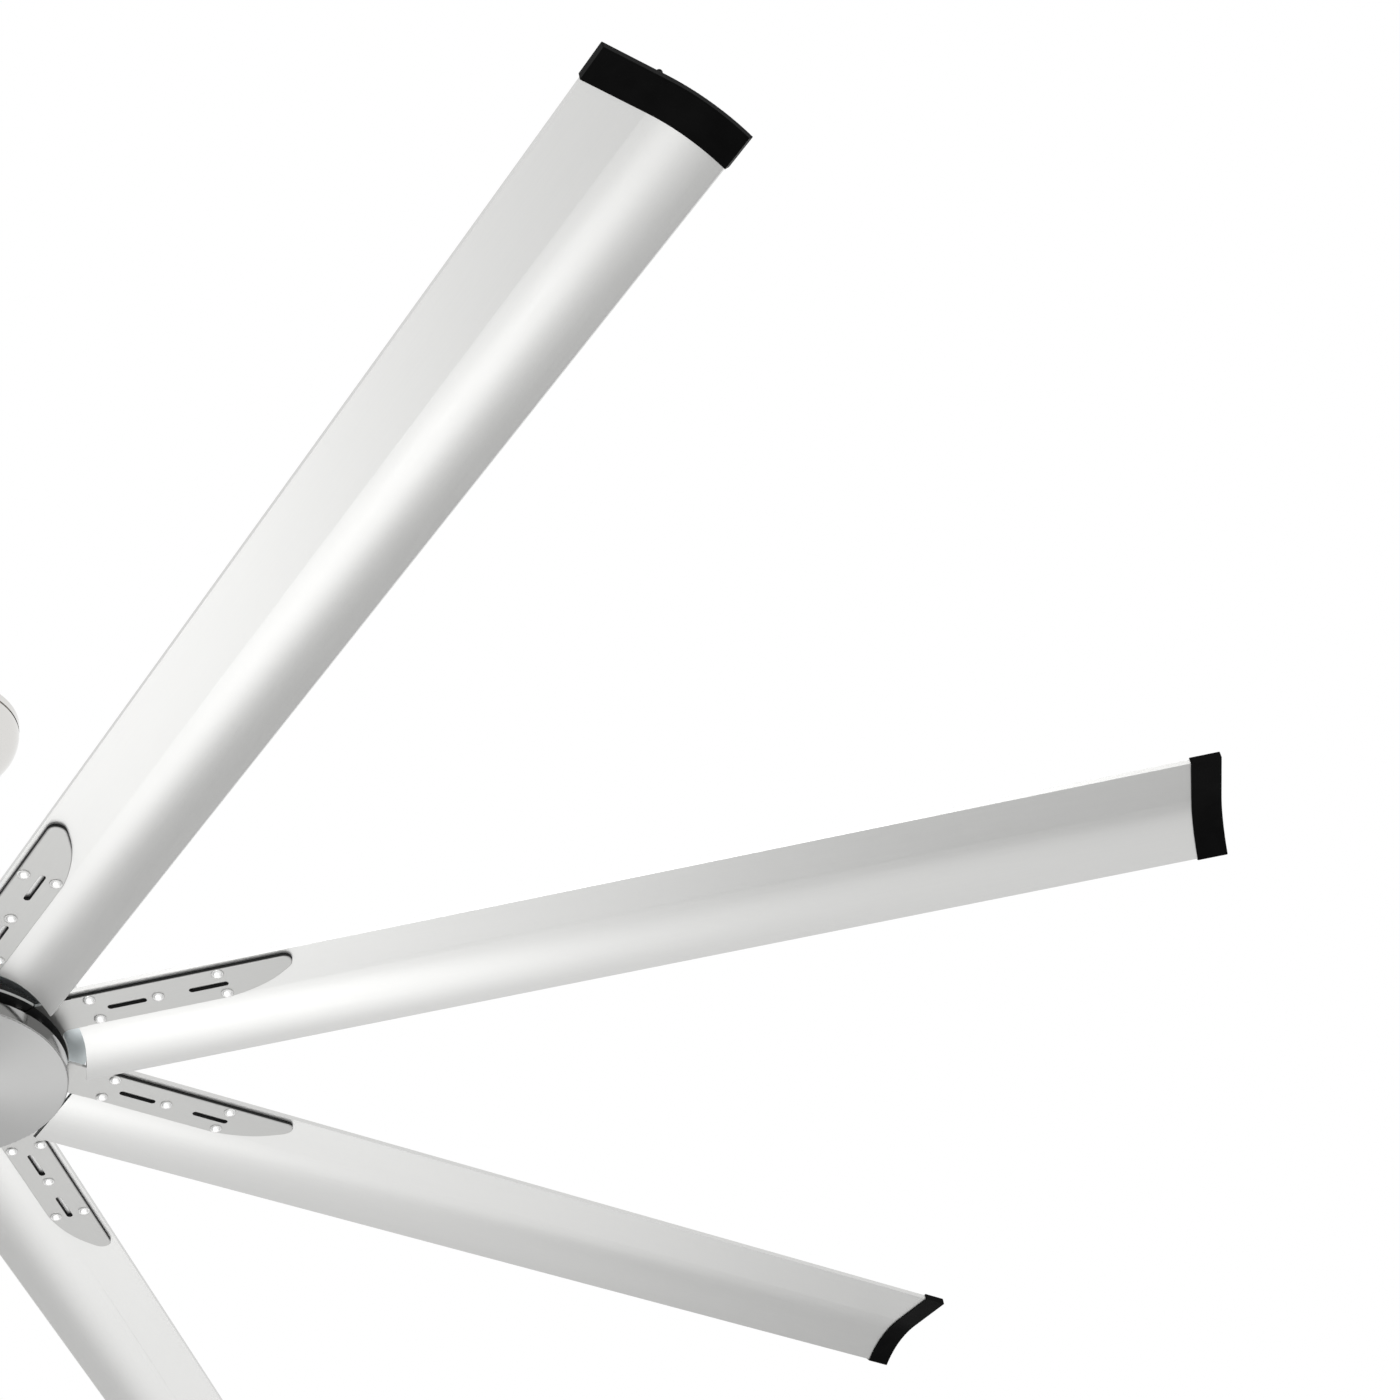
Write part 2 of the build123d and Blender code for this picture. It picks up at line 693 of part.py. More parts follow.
# Coupling cover: a small bell that slides down the rod over the yoke
def cover_shape(inset):
    base = housing_top + seat_gap
    top = base + cover_height - inset
    shoulder = (cover_radius + cover_neck) / 2 - inset
    with BuildLine(Plane.XZ) as line:
        Polyline((0, base), (cover_radius - inset, base))
        ThreePointArc(
            (cover_radius - inset, base),
            (shoulder, base + cover_height * cover_shoulder_share - inset),
            (cover_neck + cover_wall - inset, top),
        )
        Polyline((cover_neck + cover_wall - inset, top), (0, top), (0, base))
    return revolve(make_face(line.line), Axis.Z)


cover_bore = disc(rod_radius + 2 * seat_gap, housing_top, yoke_top + cover_height)
save("coupling_cover", [cover_shape(0) - cover_shape(cover_wall) - cover_bore], -blade_drop)

# Hanger ball: rests in the bracket, keyed on one side so that it swings but can't twist
ball = Sphere(ball_radius) & disc(ball_radius + cut_over, -ball_below, ball_above)
ball = ball - disc(rod_radius + fit_gap, -ball_radius, ball_radius)
pin_room = pin_radius + screw_gap
ball = ball - block(-pin_room, pin_room, -ball_radius, ball_radius, cross_pin_height - pin_room, ball_above)
key_ring = Cylinder(2 * ball_radius, key_width) - Cylinder(ball_radius - key_depth, key_width)
key_ring = Rot(90, 0, 0) * key_ring
key_side = block(-2 * ball_radius, 0, -ball_radius, ball_radius, -2 * ball_radius, 2 * ball_radius)
ball = ball - (key_ring & key_side) - side_bar(set_screw_radius + fit_gap, rod_radius, 2 * ball_radius)
save("hanger_ball", [ball], -ball_drop)
cross_pin = Rot(90, 0, 0) * Cylinder(pin_radius, cross_pin_length)
save("ball_cross_pin", [cross_pin], -ball_drop + cross_pin_height)

# Ceiling bracket: a long strap with two legs, a round cradle and its key tab, drawn along Y
lip_radius = canopy_radius - ring_wall - seat_gap
leg = bracket_leg_gap / 2
half_leg = bracket_leg_width / 2
half_strap = bracket_width / 2
half_length = bracket_length / 2
cradle_low = cradle_high - bracket_thick
strap = block(-half_strap, half_strap, -half_length, half_length, -bracket_thick, 0)
strap = strap & disc(lip_radius - canopy_lip - seat_gap, -bracket_thick, 0)
shelf = block(-shelf_reach, 0, -shelf_width / 2, shelf_width / 2, -bracket_thick, 0)
legs = block(-half_leg, half_leg, -leg - bracket_thick, leg + bracket_thick, cradle_low, 0)
legs = legs - block(-half_leg, half_leg, -leg, leg, cradle_high, 0)
cradle = legs + disc(bracket_cradle, cradle_low, cradle_high)
cradle = cradle - disc(bracket_seat, cradle_low, cradle_high)
mouth = rod_radius + 2 * seat_gap
cradle = cradle - block(0, bracket_cradle, -mouth, mouth, cradle_low, cradle_high)
tab_reach = sqrt((ball_radius - key_depth + tab_gap) ** 2 - (cradle_high + ball_drop) ** 2)
half_tab = key_width / 2 - seat_gap
tab = block(-bracket_seat - bracket_thick, -tab_reach, -half_tab, half_tab, cradle_low, cradle_high)
half_ear = bracket_tab_width / 2
inner_length = half_length - bracket_thick
ears = block(-half_ear, half_ear, -half_length, half_length, -bracket_tab_depth, 0)
ears = ears - block(-half_ear, half_ear, -inner_length, inner_length, -bracket_tab_depth, 0)
bracket = strap + shelf + cradle + tab + ears
bracket = bracket - disc(wire_hole, -bracket_thick, 0)
ceiling_slot = extrude(SlotOverall(ceiling_slot_length, 2 * ceiling_slot_radius), amount=cut_over, both=True)
ceiling_slot = Rot(0, 0, 90) * ceiling_slot
bracket = cut(bracket, [Pos(0, side * ceiling_slot_spacing / 2, 0) * ceiling_slot for side in (-1, 1)])
canopy_hole = Rot(90, 0, 0) * Cylinder(small_shank + screw_gap, 4 * canopy_radius)
canopy_hole = Pos(0, 0, canopy_screw_height) * canopy_hole
save("ceiling_bracket", [bracket - canopy_hole])

# Remote receiver, screwed under the bracket's side shelf
half_receiver = receiver_length / 2
receiver_low = -bracket_thick - receiver_height
receiver_back = receiver_width - shelf_reach
receiver = block(-shelf_reach, receiver_back, -half_receiver, half_receiver, receiver_low, -bracket_thick)
save("remote_receiver", [fillet(receiver.edges().filter_by(Axis.Z), receiver_round)])

# Canopy: a half-egg bowl whose lip stands inside a plain ring against the ceiling
bowl = Ellipse(canopy_radius, canopy_bowl) - Ellipse(canopy_radius - canopy_wall, canopy_bowl - canopy_wall)
quarter = Pos(canopy_neck, 0) * Rectangle(canopy_radius, canopy_bowl, align=(Align.MIN, Align.MAX))
canopy = revolve(Plane.XZ * Pos(0, canopy_top) * (bowl & quarter), Axis.Z)
lip_inner = lip_radius - canopy_lip
canopy = canopy + tube(canopy_radius - canopy_wall / 2, lip_inner, canopy_top - canopy_rim, canopy_top)
canopy = canopy + tube(lip_radius, lip_inner, canopy_top, -seat_gap)
save("canopy", [canopy - canopy_hole])
ring = tube(canopy_radius, canopy_radius - ring_wall, -ring_height, 0)
save("canopy_ring", [ring - canopy_hole])
canopy_screw = side_bar(small_shank, half_length - 2 * bracket_thick, canopy_radius)
canopy_screw = canopy_screw + side_bar(small_head, canopy_radius, canopy_radius + small_head_height)
save("canopy_screws", [Pos(0, 0, canopy_screw_height) * Rot(0, 0, a) * canopy_screw for a in (90, 270)])
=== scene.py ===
import math

import bmesh
import bpy
from mathutils import Matrix, Vector


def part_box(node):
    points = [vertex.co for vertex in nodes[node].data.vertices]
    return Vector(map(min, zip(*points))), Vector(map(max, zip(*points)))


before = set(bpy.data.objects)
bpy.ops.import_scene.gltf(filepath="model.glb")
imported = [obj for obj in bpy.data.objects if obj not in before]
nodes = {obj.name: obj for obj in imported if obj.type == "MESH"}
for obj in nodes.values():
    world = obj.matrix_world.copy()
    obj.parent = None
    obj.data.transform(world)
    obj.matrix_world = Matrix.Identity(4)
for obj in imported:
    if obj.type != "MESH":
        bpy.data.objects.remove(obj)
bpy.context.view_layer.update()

# Camera: the photograph looks up at the fan from the floor, a little to one side of the hub and
# slightly rolled, and shows only the right half of it. The shift keeps the hub at the left edge.
photo_size = 1400
focal_pixels = 2461.86
centre_x = 460
centre_y = 850
camera_height = -1.9391
camera_reach = 2.0441
camera_pitch = 0.7005
camera_yaw = 0.27
camera_roll = -0.1312
camera_turn = 0.0274
across = Vector((math.cos(camera_yaw), -math.sin(camera_yaw), 0))
ahead = Vector((math.sin(camera_yaw), math.cos(camera_yaw), 0))
skyward = Vector((0, 0, 1))
look = ahead * math.cos(camera_pitch) + skyward * math.sin(camera_pitch)
above = skyward * math.cos(camera_pitch) - ahead * math.sin(camera_pitch)
right = across * math.cos(camera_roll) + above * math.sin(camera_roll)
upright = above * math.cos(camera_roll) - across * math.sin(camera_roll)
facing = Matrix((right, upright, -look)).transposed().to_4x4()
place = Matrix.Translation((0, -camera_reach, camera_height))
camera_data = bpy.data.cameras.new("photo_camera")
camera_data.sensor_fit = "HORIZONTAL"
camera_data.sensor_width = 36
camera_data.lens = focal_pixels / photo_size * camera_data.sensor_width
camera_data.shift_x = 0.5 - centre_x / photo_size
camera_data.shift_y = centre_y / photo_size - 0.5
camera_data.clip_end = 50
camera = bpy.data.objects.new("photo_camera", camera_data)
camera.matrix_world = Matrix.Rotation(camera_turn, 4, "Z") @ place @ facing
bpy.context.collection.objects.link(camera)
bpy.context.scene.camera = camera
bpy.context.scene.view_settings.view_transform = "Standard"


# Ceiling bracket: a strap of pressed steel with two legs and a cradle for the ball, zinc plated, held to
# the ceiling box by two screws through its slots. Zinc plate is dull and slightly clouded.
class Value:
    """A shader socket that takes part in sums."""

    def __init__(self, tree, socket):
        self.tree = tree
        self.socket = socket

    def math(self, operation, *others, swap=False):
        node = self.tree.nodes.new("ShaderNodeMath")
        node.operation = operation
        terms = [self, *others]
        if swap:
            terms.reverse()
        for entry, term in zip(node.inputs, terms):
            if isinstance(term, Value):
                self.tree.links.new(term.socket, entry)
            else:
                entry.default_value = term
        return Value(self.tree, node.outputs[0])

    def __add__(self, other):
        return self.math("ADD", other)

    def __sub__(self, other):
        return self.math("SUBTRACT", other)

    def __rsub__(self, other):
        return self.math("SUBTRACT", other, swap=True)

    def __mul__(self, other):
        return self.math("MULTIPLY", other)

    def __truediv__(self, other):
        return self.math("DIVIDE", other)

    def __abs__(self):
        return self.math("ABSOLUTE")

    __radd__ = __add__
    __rmul__ = __mul__

    def between(self, low, high):
        """0 up to low, 1 from high on, and even steps between them."""
        return ((self - low) / (high - low)).math("MINIMUM", 1.0).math("MAXIMUM", 0.0)


class Finish:
    """One material: its Principled shader, and the nodes that feed it."""

    def __init__(self, name, colour, roughness, metallic=0.0, **plain):
        self.material = bpy.data.materials.new(name)
        self.material.use_nodes = True
        self.tree = self.material.node_tree
        self.shader = self.tree.nodes["Principled BSDF"]
        self.set("Base Color", (*colour, 1.0))
        self.set("Roughness", roughness)
        self.set("Metallic", metallic)
        for socket, level in plain.items():
            self.set(socket.replace("_", " "), level)

    def set(self, socket, level):
        if isinstance(level, Value):
            self.tree.links.new(level.socket, self.shader.inputs[socket])
        else:
            self.shader.inputs[socket].default_value = level

    def node(self, kind, settings=None, output=0, **sockets):
        made = self.tree.nodes.new("ShaderNode" + kind)
        for name, setting in (settings or {}).items():
            setattr(made, name, setting)
        for name, level in sockets.items():
            key = int(name[1:]) if name[0] == "i" and name[1:].isdigit() else name.replace("_", " ")
            entry = made.inputs[key]
            if isinstance(level, Value):
                self.tree.links.new(level.socket, entry)
            else:
                entry.default_value = level
        return Value(self.tree, made.outputs[output])

    def place(self, turn=0.0, scale=(1, 1, 1)):
        """Object coordinates, turned back about the fan's axis and then scaled."""
        here = self.node("TexCoord", output=3)
        moved = self.node("Mapping", {"vector_type": "TEXTURE"}, Vector=here, Rotation=(0, 0, turn))
        return self.node("VectorMath", {"operation": "MULTIPLY"}, i0=moved, i1=scale)

    def axis(self, output, turn=0.0):
        """One object coordinate in metres: 0 is x, 1 is y and 2 is z."""
        return self.node("SeparateXYZ", output=output, Vector=self.place(turn))

    def reach(self):
        """Distance from the fan's axis."""
        flat = self.place(scale=(1, 1, 0))
        return self.node("VectorMath", {"operation": "LENGTH"}, output=1, i0=flat)

    def noise(self, scale, detail=2.0, stretch=(1, 1, 1), turn=0.0):
        return self.node("TexNoise", Vector=self.place(turn, stretch), Scale=scale, Detail=detail)

    def bump(self, height, distance, strength=1.0):
        self.set("Normal", self.node("Bump", Height=height, Distance=distance, Strength=strength))

    def mix(self, mask, low, high):
        """One colour to another by mask; either may be a mix already."""
        ends = [end if isinstance(end, Value) else (*end, 1.0) for end in (low, high)]
        return self.node("Mix", {"data_type": "RGBA"}, output=2, i0=mask, i6=ends[0], i7=ends[1])

    def tint(self, mask, low, high):
        self.set("Base Color", self.mix(mask, low, high))

    def on(self, *names):
        for name in names:
            nodes[name].data.materials.clear()
            nodes[name].data.materials.append(self.material)


def plate_zinc(finish):
    """Dull zinc: a slow cloud in the colour and a fine crystal grain in the gloss."""
    cloud = finish.noise(60.0, 4.0)
    finish.tint(cloud.between(0.3, 0.7), (0.38, 0.38, 0.37), (0.55, 0.545, 0.52))
    crystals = finish.node("TexVoronoi", Vector=finish.place(), Scale=420.0)
    finish.set("Roughness", cloud * 0.2 + crystals * 0.12 + 0.22)
    finish.bump(finish.noise(1500.0), 0.00004, 0.4)


bracket_zinc = Finish("zinc_plated_bracket", (0.46, 0.46, 0.44), 0.38, 0.9)
plate_zinc(bracket_zinc)
bracket_zinc.on("ceiling_bracket")

# Remote receiver: a small box moulded in pale grey plastic, screwed under the bracket's side shelf.
# Its faces have the fine spark-eroded grain of a cheap electrical housing.
receiver_case = Finish("receiver_plastic", (0.7, 0.7, 0.68), 0.48)
receiver_grain = receiver_case.noise(2200.0, 2.0)
receiver_case.tint(receiver_case.noise(45.0), (0.66, 0.66, 0.64), (0.74, 0.74, 0.72))
receiver_case.set("Roughness", receiver_grain * 0.15 + 0.42)
receiver_case.bump(receiver_grain, 0.00008, 0.5)
receiver_case.on("remote_receiver")

# Hanger ball: moulded in black glass-filled nylon, keyed on one side, held on the downrod by its cross
# pin and a set screw. It is polished a little where it turns in the cradle.
nylon = Finish("black_nylon_ball", (0.02, 0.02, 0.02), 0.45)
fibres = nylon.noise(900.0, 3.0)
polish_bottom = -0.06
polish_top = -0.048
unpolished = nylon.axis(2).between(polish_bottom, polish_top)
nylon.tint(fibres, (0.014, 0.014, 0.014), (0.03, 0.03, 0.031))
nylon.set("Roughness", unpolished * 0.18 + fibres * 0.1 + 0.25)
nylon.bump(fibres, 0.00015, 0.3)
nylon.on("hanger_ball")


# Small pins and screws of the hanger: turned or headed steel, bright zinc plated, or blackened on the
# set screws. Each is a stock part, with fine marks all over.
def fastener(name, tone):
    """Plated steel with a little stain and fine marks."""
    made = Finish(name, (tone, tone, tone * 0.975), 0.25, 1.0)
    stain = made.noise(260.0, 3.0)
    made.tint(stain.between(0.3, 0.75), (tone * 0.82,) * 3, (tone, tone, tone * 0.975))
    made.set("Roughness", stain * 0.22 + 0.14)
    made.bump(made.noise(3000.0), 0.00003, 0.3)
    return made


fastener("plated_pins", 0.64).on("ball_cross_pin", "clevis_pin", "clevis_clip")
fastener("black_set_screws", 0.08).on("set_screws")

# Downrod: drawn steel tube, 26.7 mm across, with a satin nickel finish brushed along its length.
# It hangs from the ball and carries the whole fan.
rod_nickel = Finish("brushed_downrod", (0.6, 0.6, 0.585), 0.28, 1.0)
rod_lines = rod_nickel.noise(1.0, 3.0, (2400, 2400, 6))
rod_nickel.set("Roughness", rod_lines * 0.16 + 0.2)
rod_nickel.tint(rod_lines, (0.56, 0.56, 0.545), (0.64, 0.64, 0.625))
rod_nickel.bump(rod_lines, 0.00002, 0.4)
rod_nickel.on("downrod")


# Canopy and its ring: a bowl spun from thin steel and nickel plated, with a plain ring against the
# ceiling. Two small screws in the ring hold both to the bracket.
def spin_rings(finish):
    """The fine rings that spinning leaves about the fan's axis, felt as a faint bump."""
    ring_rate = 1900.0
    travel = finish.reach() * ring_rate + finish.axis(2) * ring_rate
    rings = finish.node("TexNoise", Vector=travel, Scale=1.0, Detail=3.0)
    finish.bump(rings, 0.00001, 0.35)
    return rings


def plate_nickel(finish, tone):
    """Nickel plate over the rings, in a tone that rings and a slow haze vary."""
    rings = spin_rings(finish)
    haze = finish.noise(22.0, 4.0)
    finish.tint(rings * 0.5 + haze * 0.5, tuple(0.93 * part for part in tone), tone)
    return rings, haze


def turned(name, tone, low, high):
    """Nickel plate that is a little duller on the rings, between two roughnesses."""
    made = Finish(name, tone, low, 1.0)
    rings, haze = plate_nickel(made, tone)
    made.set("Roughness", rings * (high - low) + haze * 0.05 + low)
    return made


turned("polished_canopy_nickel", (0.74, 0.73, 0.71), 0.07, 0.16).on("canopy", "canopy_ring")
fastener("canopy_screw_nickel", 0.7).on("canopy_screws")

# Yoke: one zinc alloy casting that takes shaft, downrod and housing, with a sand-cast skin and
# machined bores. The downrod is pinned in it and clamped by two set screws.
casting = Finish("cast_yoke", (0.42, 0.42, 0.41), 0.5, 0.85)
skin_grain = casting.noise(1100.0, 4.0)
casting.tint(casting.noise(80.0, 3.0), (0.33, 0.33, 0.325), (0.47, 0.47, 0.46))
casting.set("Roughness", skin_grain * 0.25 + 0.38)
casting.bump(skin_grain, 0.0003, 0.5)
casting.on("motor_yoke")

# Coupling cover: a small bell spun in steel with the housing's satin nickel, slid down the rod over
# the yoke. It hides the pin and the set screws.
turned("satin_cover_nickel", (0.62, 0.62, 0.61), 0.24, 0.36).on("coupling_cover")

# Control board: a round glass-fibre board under the yoke's flange, with five power chips and five
# capacitors. The board is green and what hangs below it is black, with pale ends on the capacitors.
board = Finish("control_board", (0.03, 0.17, 0.07), 0.35)
board_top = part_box("control_board")[1][2]
board_depth = 0.0017
capacitor_depth = 0.0152
below_board = 1 - board.axis(2).between(board_top - board_depth - 0.0002, board_top - board_depth)
tracks = board.node("TexVoronoi", {"distance": "MANHATTAN"}, Vector=board.place(), Scale=260.0)
green = board.mix(tracks.between(0.42, 0.5), (0.02, 0.13, 0.05), (0.05, 0.24, 0.1))
far_down = 1 - board.axis(2).between(board_top - capacitor_depth - 0.0004, board_top - capacitor_depth)
parts_tone = board.mix(far_down, (0.02, 0.02, 0.022), (0.5, 0.5, 0.5))
board.tint(below_board, green, parts_tone)
board.set("Roughness", board.noise(700.0) * 0.2 + 0.28)
board.bump(tracks, 0.00005, 0.5)
board.on("control_board")

# Motor housing: a bell spun from steel sheet, satin nickel plated, with an inward flange over the
# blade roots, bluer than the bell and painted paler as painted light. Four screws hold it to the yoke.
housing = Finish("satin_housing_nickel", (0.62, 0.625, 0.625), 0.27, 1.0)
spin_rings(housing)
flange_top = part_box("motor_housing")[0][2] + 0.0005
on_bell = housing.axis(2).between(flange_top, flange_top + 0.0003)
bell_tone = housing.mix(housing.noise(22.0, 4.0), (0.59, 0.595, 0.595), (0.64, 0.645, 0.645))
# The flange's near white tone is painted light, set against the shade it lies in; its blue cast is its
# own tone.
housing.tint(on_bell, (0.9, 0.96, 0.98), bell_tone)
housing.set("Roughness", on_bell * -0.22 + housing.noise(300.0) * 0.08 + 0.46)
housing.on("motor_housing")
fastener("housing_screw_zinc", 0.6).on("housing_screws")

# Stator core: a stack of punched silicon steel sheets pressed on the shaft, with twelve teeth.
# The stack's edges show as fine level lines, slightly blued by heat.
laminations = Finish("stator_laminations", (0.3, 0.31, 0.33), 0.45, 0.85)
sheet_rate = 12566.0
sheets = (laminations.axis(2) * sheet_rate).math("SINE") * 0.5 + 0.5
heat = laminations.noise(70.0, 3.0)
laminations.tint(heat, (0.22, 0.23, 0.27), (0.36, 0.36, 0.36))
laminations.set("Roughness", sheets * 0.15 + 0.35)
laminations.bump(sheets, 0.00008, 0.6)
laminations.on("stator_core")

# Windings: enamelled copper wire, machine wound on each tooth and varnished. The turns lie side by
# side, a millimetre apart.
copper = Finish("enamelled_copper", (0.6, 0.26, 0.12), 0.3, 0.8, Coat_Roughness=0.15)
wire_rate = 6283.2
turns = (copper.reach() * wire_rate).math("SINE") * 0.5 + 0.5
varnish = copper.noise(150.0, 3.0)
copper.tint(varnish.between(0.3, 0.7), (0.42, 0.15, 0.06), (0.68, 0.3, 0.14))
copper.set("Roughness", varnish * 0.2 + 0.2)
copper.set("Coat Weight", varnish.between(0.4, 0.7) * 0.6)
copper.bump(turns, 0.0003, 0.8)
copper.on("stator_windings")

# Shaft and its nut: a steel shaft ground where the bearings sit, bored for the wires, and a plated
# hexagon nut on its lower thread. The grinding leaves very fine rings.
ground = Finish("ground_shaft", (0.6, 0.6, 0.6), 0.2, 1.0)
rings = ground.noise(1.0, 3.0, (60, 60, 5000))
ground.tint(ground.noise(90.0), (0.52, 0.52, 0.52), (0.64, 0.64, 0.63))
ground.set("Roughness", rings * 0.2 + 0.12)
thread_rate = 5027.0
thread_length = 0.01
thread = (ground.axis(2) * thread_rate).math("SINE")
thread_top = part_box("motor_shaft")[0][2] + thread_length
threaded = 1 - ground.axis(2).between(thread_top - 0.0005, thread_top)
ground.bump(thread * threaded + rings * 0.1, 0.0003, 0.7)
ground.on("motor_shaft")
fastener("shaft_nut_zinc", 0.58).on("shaft_nut")

# Bearings: two deep-groove bearings of through-hardened steel, rings ground bright and balls lapped.
# A thin film of grease dulls them in places.
for name, rough in (("bearing_ring_steel", 0.16), ("bearing_ball_steel", 0.04)):
    steel = Finish(name, (0.62, 0.62, 0.63), rough, 1.0)
    grease = steel.noise(180.0, 3.0).between(0.45, 0.7)
    steel.tint(grease, (0.64, 0.64, 0.65), (0.5, 0.47, 0.4))
    steel.set("Roughness", grease * 0.15 + rough)
    steel.bump(steel.noise(2600.0), 0.00001, 0.2)
    if rough > 0.1:
        for end in ("lower", "upper"):
            steel.on(f"{end}_bearing_inner_ring", f"{end}_bearing_outer_ring")
    else:
        steel.on("bearing_balls")

# Rotor case: a flat shield and a deep cup, die cast in aluminium and painted black, clamped on the
# flywheel by one set of screws. The paint is satin, with the casting's grain under it.
case_paint = Finish("black_rotor_paint", (0.014, 0.014, 0.015), 0.42)
orange_peel = case_paint.noise(700.0, 3.0)
case_paint.tint(case_paint.noise(50.0, 3.0), (0.01, 0.01, 0.011), (0.022, 0.022, 0.023))
case_paint.set("Roughness", orange_peel * 0.2 + 0.32)
case_paint.bump(orange_peel, 0.00015, 0.4)
case_paint.on("rotor_lower_shield", "rotor_upper_case")
fastener("case_screw_zinc", 0.55).on("rotor_case_screws")

# Magnets: sixteen sintered blocks glued inside the cup's wall, with a dark grey nickel coat.
# The sintered faces are a little uneven.
magnet = Finish("coated_magnets", (0.09, 0.09, 0.095), 0.4, 0.8)
sinter = magnet.noise(800.0, 4.0)
magnet.tint(magnet.noise(90.0, 2.0), (0.07, 0.07, 0.075), (0.13, 0.13, 0.135))
magnet.set("Roughness", sinter * 0.25 + 0.28)
magnet.bump(sinter, 0.00006, 0.4)
magnet.on("rotor_magnets")

# Flywheel: the steel ring that carries the arms under the motor, turned and then painted black.
# Little light reaches it, between the blades and the bottom cap.
wheel = Finish("black_flywheel_paint", (0.006, 0.006, 0.006), 0.5, Specular_IOR_Level=0.25)
wheel_rings = wheel.node("TexNoise", Vector=wheel.reach() * 1200.0, Scale=1.0, Detail=2.0)
wheel.tint(wheel.noise(60.0, 3.0), (0.004, 0.004, 0.004), (0.009, 0.009, 0.009))
wheel.set("Roughness", wheel_rings * 0.15 + 0.42)
wheel.bump(wheel_rings, 0.00005, 0.4)
wheel.on("flywheel")

# Blade arms: steel plate cut to a leaf, punched, bent down from its foot, brushed along its length
# and satin plated. The foot, the slots' walls and the cut edges outside the hub are painted near black
# as painted shade.
first_azimuth = -67.5
foot_edge = 0.1293
edge_start = 0.149
slot_line = -0.0252
slot_middles = (0.20825, 0.29175)
slot_half_length = 0.02
slot_half_width = 0.0032
for count in range(8):
    turn = math.radians(first_azimuth + 45 * count)
    plate = Finish(f"satin_arm_plate_{count + 1}", (0.47, 0.47, 0.46), 0.36, 0.9)
    along = plate.axis(0, turn)
    off_line = abs(plate.axis(1, turn) - slot_line)
    nearest = abs(along - slot_middles[0]).math("MINIMUM", abs(along - slot_middles[1]))
    past_straight = (nearest - (slot_half_length - slot_half_width)).math("MAXIMUM", 0.0)
    from_slot = (past_straight * past_straight + off_line * off_line).math("SQRT")
    outside_slot_painted_shade = from_slot.between(slot_half_width + 0.0001, slot_half_width + 0.0002)
    outside_foot_painted_shade = plate.reach().between(foot_edge, foot_edge + 0.0001)
    level = abs(plate.node("SeparateXYZ", output=2, Vector=plate.node("TexCoord", output=1)))
    near_hub = 1 - plate.reach().between(edge_start, edge_start + 0.001)
    outside_side_painted_shade = level.between(0.25, 0.4).math("MAXIMUM", near_hub)
    # Painted shade: the foot, the slots' walls and the steep sides outside the hub turn near black, dull
    # and not metallic.
    outside_painted_shade = outside_slot_painted_shade * outside_foot_painted_shade * outside_side_painted_shade
    brushing = plate.noise(1.0, 4.0, (9, 1500, 1500), turn)
    steel_tone = plate.mix(brushing, (0.41, 0.41, 0.402), (0.47, 0.47, 0.461))
    plate.tint(outside_painted_shade, (0.004, 0.004, 0.004), steel_tone)
    plate.set("Metallic", outside_painted_shade * 0.9)
    plate.set("Roughness", brushing * 0.14 + 0.3 + (1 - outside_painted_shade) * 0.3)
    plate.bump(brushing, 0.00002, 0.4)
    plate.on(f"blade_arm_{count + 1}")
fastener("arm_screw_zinc", 0.75).on("arm_screws")

# Gaskets: leaf shapes die cut from black closed-cell foam, squeezed between arm and blade so that
# they don't rattle. Their edge shows as a thin black line round each arm.
foam = Finish("black_gasket_foam", (0.012, 0.012, 0.012), 0.75, Specular_IOR_Level=0.2)
cells = foam.node("TexVoronoi", Vector=foam.place(), Scale=1600.0)
foam.tint(cells, (0.006, 0.006, 0.006), (0.02, 0.02, 0.02))
foam.set("Roughness", cells * 0.2 + 0.65)
foam.bump(cells, 0.0002, 0.6)
foam.on("blade_gaskets")

# Blades: hollow aluminium extrusions, satin anodised, with the faint straight lines of the die along
# their length. The anodising has a faint bloom, drawn out along the blade.
for count in range(8):
    turn = math.radians(first_azimuth + 45 * count)
    skin = Finish(f"anodised_blade_{count + 1}", (0.66, 0.66, 0.65), 0.38, 0.85)
    die_lines = skin.noise(1.0, 4.0, (1.5, 900, 900), turn)
    bloom = skin.noise(1.0, 3.0, (5, 30, 30), turn)
    skin.tint(die_lines * 0.6 + bloom * 0.4, (0.635, 0.635, 0.626), (0.685, 0.685, 0.675))
    skin.set("Roughness", die_lines * 0.1 + 0.33)
    skin.bump(die_lines, 0.000008, 0.4)
    skin.on(f"blade_{count + 1}")

# Blade screws: low domed heads of polished stainless steel, five to a blade, cold headed and then
# tumbled bright. The tumbling leaves faint marks.
dome = Finish("polished_dome_screws", (0.9, 0.9, 0.9), 0.2, 1.0)
polish = dome.noise(600.0, 2.0)
dome.tint(polish, (0.86, 0.86, 0.855), (0.92, 0.92, 0.91))
dome.set("Roughness", polish * 0.14 + 0.2)
dome.bump(polish, 0.00001, 0.2)
dome.on("blade_screws")

# Blade tip caps: moulded in black polypropylene with a peg on top, pushed over the open end of each
# blade. They are made duller than real plastic, to come out as black as in the photograph.
cap_black = Finish("black_tip_cap", (0.003, 0.003, 0.003), 0.4, Specular_IOR_Level=0.02)
mould_grain = cap_black.noise(1300.0, 3.0)
cap_black.tint(cap_black.noise(70.0), (0.002, 0.002, 0.002), (0.005, 0.005, 0.005))
cap_black.set("Roughness", mould_grain * 0.12 + 0.34)
cap_black.bump(mould_grain, 0.00005, 0.4)
for count in range(1, 9):
    cap_black.on(f"blade_tip_cap_{count}")

